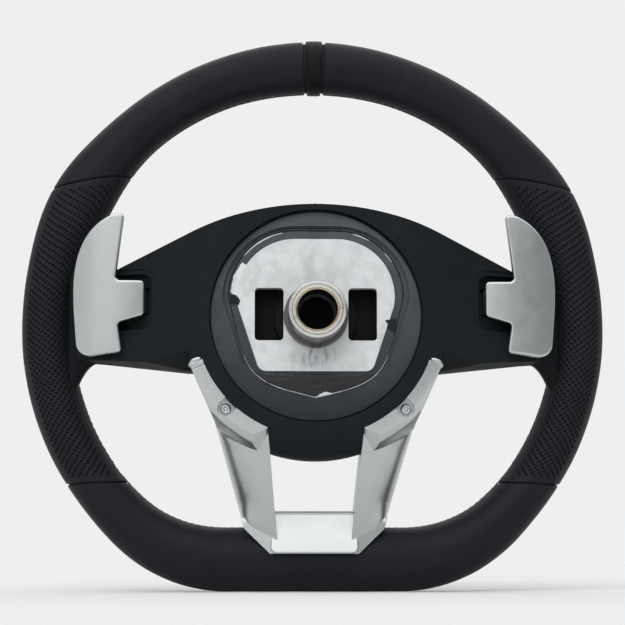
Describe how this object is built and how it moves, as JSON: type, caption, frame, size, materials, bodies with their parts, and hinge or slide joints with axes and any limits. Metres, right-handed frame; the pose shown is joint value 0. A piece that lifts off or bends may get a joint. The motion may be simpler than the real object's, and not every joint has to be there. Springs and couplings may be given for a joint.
{
  "type": "car steering wheel",
  "caption": "Flat-bottomed leather car steering wheel with perforated grips, silver lower spoke trim, shift paddles, switch packs and a horn-button airbag.",
  "frame": {"origin": "on the axis of the hub bore, where its cylindrical wall begins at the rear mouth", "axes": "+Z to twelve o'clock, -Y out of the bore to the back of the wheel, +Y to the driver, +X to the right as seen from the back"},
  "size_m": [0.3774, 0.0973, 0.3614],
  "materials": {
    "smooth_leather": "smooth nappa leather, low sheen",
    "perforated_leather": "perforated leather, low sheen",
    "leather_band": "smooth leather band",
    "rim_foam": "moulded polyurethane foam",
    "hub_foam": "moulded polyurethane foam, matte grey",
    "cast_alloy": "die-cast alloy, matte, stained",
    "hub_steel": "turned steel",
    "cover_plastic": "fine-grained black plastic",
    "satin_silver": "satin silver paint",
    "screw_steel": "dull steel",
    "pin_steel": "drawn steel",
    "spring_steel": "spring steel wire",
    "inner_plastic": "glass-filled black plastic",
    "switch_plastic": "dark grey plastic",
    "panel_gloss": "gloss black plastic",
    "button_plastic": "soft-touch black plastic",
    "board": "green circuit board",
    "airbag_skin": "fine-grained black airbag cover",
    "airbag_steel": "zinc-plated pressed steel",
    "airbag_cloth": "folded woven cloth"
  },
  "bodies": {
    "wheel": {"armature": "cast_alloy", "bottom_leather": "smooth_leather", "front_cover": "cover_plastic", "front_spoke_trim": "satin_silver", "grip_leather_left": "perforated_leather", "grip_leather_right": "perforated_leather", "horn_springs": "spring_steel", "hub_foam": "hub_foam", "paddle_bracket_left": "inner_plastic", "paddle_bracket_right": "inner_plastic", "paddle_pin_left": "pin_steel", "paddle_pin_right": "pin_steel", "paddle_switch_left": "switch_plastic", "paddle_switch_right": "switch_plastic", "rear_cover": "cover_plastic", "rear_spoke_trim": "satin_silver", "rim_foam": "rim_foam", "splined_hub": "hub_steel", "switch_board_left": "board", "switch_board_right": "board", "switch_panel_left": "panel_gloss", "switch_panel_right": "panel_gloss", "top_leather_left": "smooth_leather", "top_leather_right": "smooth_leather", "top_marker": "leather_band", "trim_screws": "screw_steel"},
    "airbag": {"airbag_cover": "airbag_skin", "airbag_tray": "airbag_steel", "gas_generator": "airbag_steel", "folded_airbag": "airbag_cloth", "horn_guide_pins": "pin_steel"},
    "paddle_left": {"paddle_left": "satin_silver", "paddle_lever_left": "inner_plastic"},
    "paddle_right": {"paddle_right": "satin_silver", "paddle_lever_right": "inner_plastic"},
    "button_upper_inner_left": {"button_upper_inner_left": "button_plastic"},
    "button_upper_outer_left": {"button_upper_outer_left": "button_plastic"},
    "button_lower_inner_left": {"button_lower_inner_left": "button_plastic"},
    "button_lower_outer_left": {"button_lower_outer_left": "button_plastic"},
    "thumb_pad_left": {"thumb_pad_left": "button_plastic"},
    "button_upper_inner_right": {"button_upper_inner_right": "button_plastic"},
    "button_upper_outer_right": {"button_upper_outer_right": "button_plastic"},
    "button_lower_inner_right": {"button_lower_inner_right": "button_plastic"},
    "button_lower_outer_right": {"button_lower_outer_right": "button_plastic"},
    "thumb_pad_right": {"thumb_pad_right": "button_plastic"}
  },
  "joints": [
    {"name": "paddle_left_pull", "type": "hinge", "parent": "wheel", "child": "paddle_left", "pos_m": [-0.098, 0.055, 0.0115], "axis": [0, 0, -1], "range_deg": [0, 5], "stiffness_Nm_per_rad": 3},
    {"name": "paddle_right_pull", "type": "hinge", "parent": "wheel", "child": "paddle_right", "pos_m": [0.098, 0.055, 0.0115], "axis": [0, 0, 1], "range_deg": [0, 5], "stiffness_Nm_per_rad": 3},
    {"name": "horn_press", "type": "slide", "parent": "wheel", "child": "airbag", "axis": [0, -1, 0], "range_m": [0, 0.0025], "stiffness_N_per_m": 12000, "deforming": ["horn_springs"]},
    {"name": "button_upper_inner_left_press", "type": "slide", "parent": "wheel", "child": "button_upper_inner_left", "axis": [-0.2074, -0.9783, 0], "range_m": [0, 0.0008], "stiffness_N_per_m": 3000},
    {"name": "button_upper_outer_left_press", "type": "slide", "parent": "wheel", "child": "button_upper_outer_left", "axis": [-0.2074, -0.9783, 0], "range_m": [0, 0.0008], "stiffness_N_per_m": 3000},
    {"name": "button_lower_inner_left_press", "type": "slide", "parent": "wheel", "child": "button_lower_inner_left", "axis": [-0.2074, -0.9783, 0], "range_m": [0, 0.0008], "stiffness_N_per_m": 3000},
    {"name": "button_lower_outer_left_press", "type": "slide", "parent": "wheel", "child": "button_lower_outer_left", "axis": [-0.2074, -0.9783, 0], "range_m": [0, 0.0008], "stiffness_N_per_m": 3000},
    {"name": "thumb_pad_left_press", "type": "slide", "parent": "wheel", "child": "thumb_pad_left", "axis": [-0.2074, -0.9783, 0], "range_m": [0, 0.0008], "stiffness_N_per_m": 3000},
    {"name": "button_upper_inner_right_press", "type": "slide", "parent": "wheel", "child": "button_upper_inner_right", "axis": [0.2074, -0.9783, 0], "range_m": [0, 0.0008], "stiffness_N_per_m": 3000},
    {"name": "button_upper_outer_right_press", "type": "slide", "parent": "wheel", "child": "button_upper_outer_right", "axis": [0.2074, -0.9783, 0], "range_m": [0, 0.0008], "stiffness_N_per_m": 3000},
    {"name": "button_lower_inner_right_press", "type": "slide", "parent": "wheel", "child": "button_lower_inner_right", "axis": [0.2074, -0.9783, 0], "range_m": [0, 0.0008], "stiffness_N_per_m": 3000},
    {"name": "button_lower_outer_right_press", "type": "slide", "parent": "wheel", "child": "button_lower_outer_right", "axis": [0.2074, -0.9783, 0], "range_m": [0, 0.0008], "stiffness_N_per_m": 3000},
    {"name": "thumb_pad_right_press", "type": "slide", "parent": "wheel", "child": "thumb_pad_right", "axis": [0.2074, -0.9783, 0], "range_m": [0, 0.0008], "stiffness_N_per_m": 3000}
  ]
}
